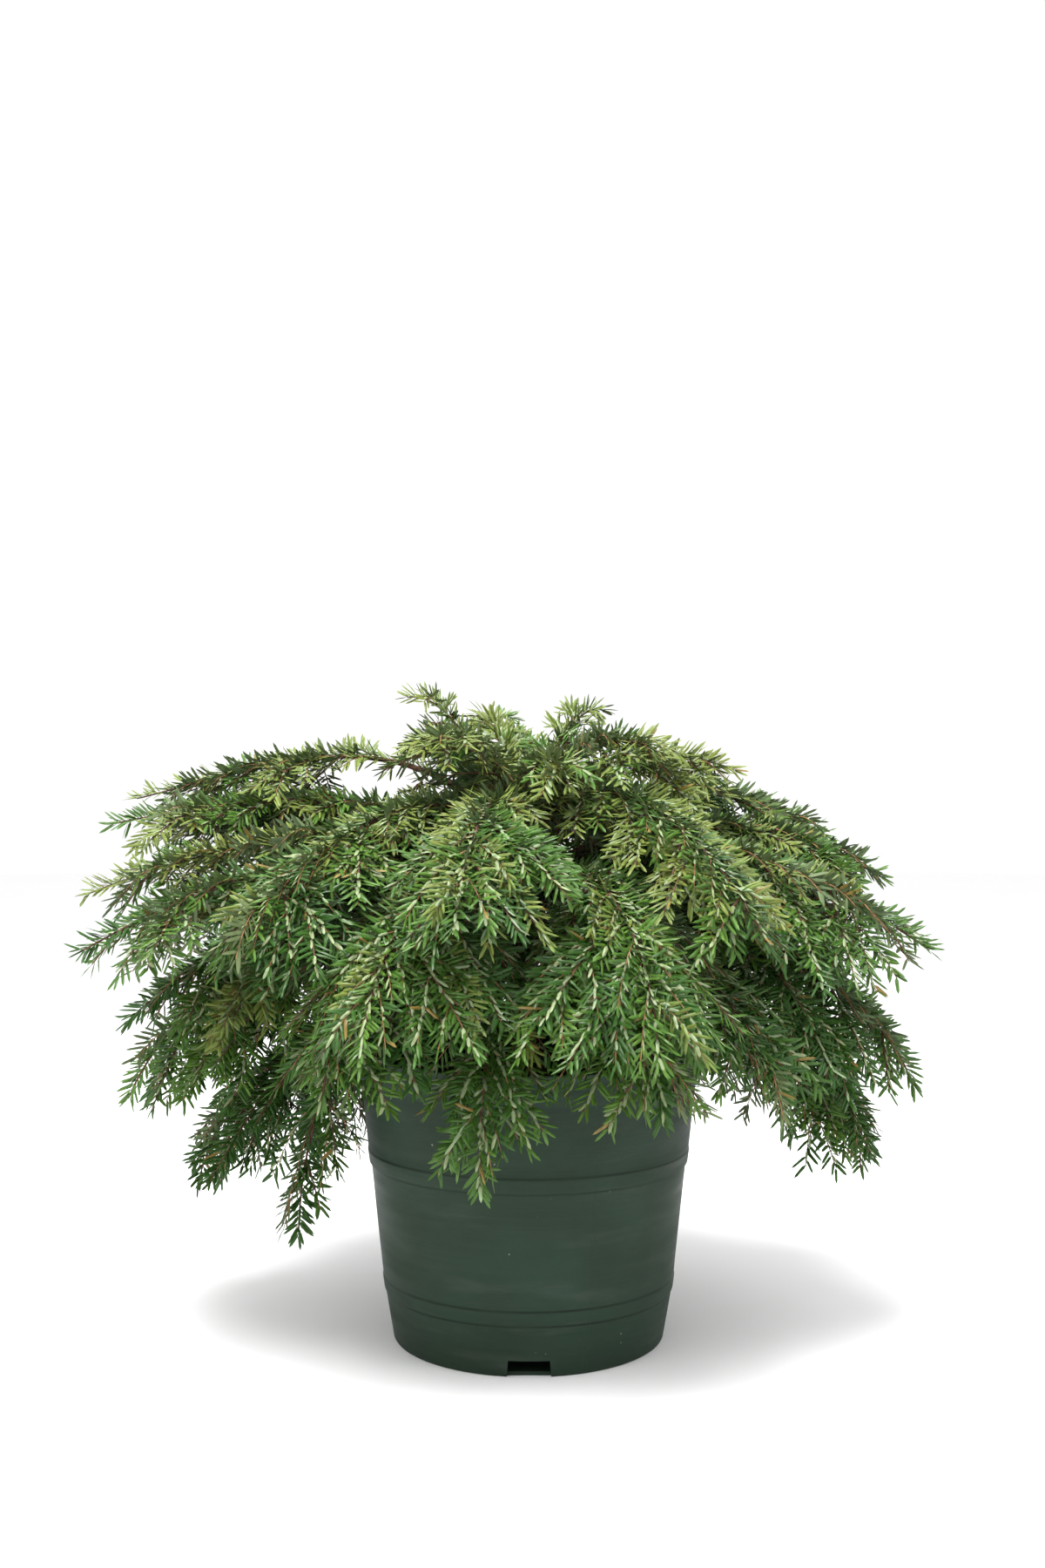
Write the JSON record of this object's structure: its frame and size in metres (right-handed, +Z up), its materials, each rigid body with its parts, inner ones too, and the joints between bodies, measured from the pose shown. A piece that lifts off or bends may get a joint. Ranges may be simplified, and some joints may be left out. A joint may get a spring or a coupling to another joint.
{
  "type": "potted eastern hemlock",
  "caption": "Low spreading eastern hemlock in a dark green round nursery pot, its boughs arching out with drooping sprays of short flat needles.",
  "frame": {"origin": "centre of the pot's flat underside, where it stands on the ground", "axes": "+Z up through the pot, -Y towards the viewer of the picture, which is the front, and +X to that viewer's right"},
  "size_m": [0.5396, 0.4754, 0.4187],
  "materials": {
    "pot_plastic": "satin",
    "soil": "matte",
    "bark": "matte",
    "needles": "matte"
  },
  "bodies": {
    "root": {"pot": "pot_plastic", "potting_soil": "soil", "trunk": "bark", "bough_middle_left": "bark", "bough_middle_front": "bark", "bough_middle_front_right": "bark", "bough_middle_right_front": "bark", "bough_middle_right": "bark", "bough_middle_back_right": "bark", "bough_middle_back": "bark", "bough_middle_back_left": "bark", "bough_low_left": "bark", "bough_lower_left": "bark", "bough_lower_back_left": "bark", "bough_hanging_left": "bark", "bough_lower_front_left": "bark", "bough_hanging_front": "bark", "bough_lower_front_right": "bark", "bough_lower_right_front": "bark", "bough_low_right": "bark", "bough_lower_right": "bark", "bough_lower_back_right": "bark", "bough_lower_back": "bark", "foliage_top_left": "needles", "foliage_top_right": "needles", "foliage_top_back": "needles", "foliage_top_front_left": "needles", "foliage_top_front": "needles", "foliage_top_front_right": "needles", "foliage_top_back_left": "needles", "foliage_upper_left": "needles", "foliage_upper_back_left": "needles", "foliage_upper_back": "needles", "foliage_upper_back_right": "needles", "foliage_upper_right": "needles", "foliage_upper_front_right": "needles", "foliage_upper_front": "needles", "foliage_upper_front_left": "needles", "foliage_middle_left": "needles", "foliage_middle_left_front": "needles", "foliage_middle_front_left": "needles", "foliage_middle_front": "needles", "foliage_middle_front_right": "needles", "foliage_middle_right_front": "needles", "foliage_middle_right": "needles", "foliage_middle_back_right": "needles", "foliage_middle_back": "needles", "foliage_middle_back_left": "needles", "foliage_low_left": "needles", "foliage_lower_left": "needles", "foliage_lower_back_left": "needles", "foliage_hanging_left": "needles", "foliage_lower_front_left": "needles", "foliage_hanging_front": "needles", "foliage_lower_front_right": "needles", "foliage_lower_right_front": "needles", "foliage_low_right": "needles", "foliage_lower_right": "needles", "foliage_lower_back_right": "needles", "foliage_lower_back": "needles"}
  },
  "joints": []
}
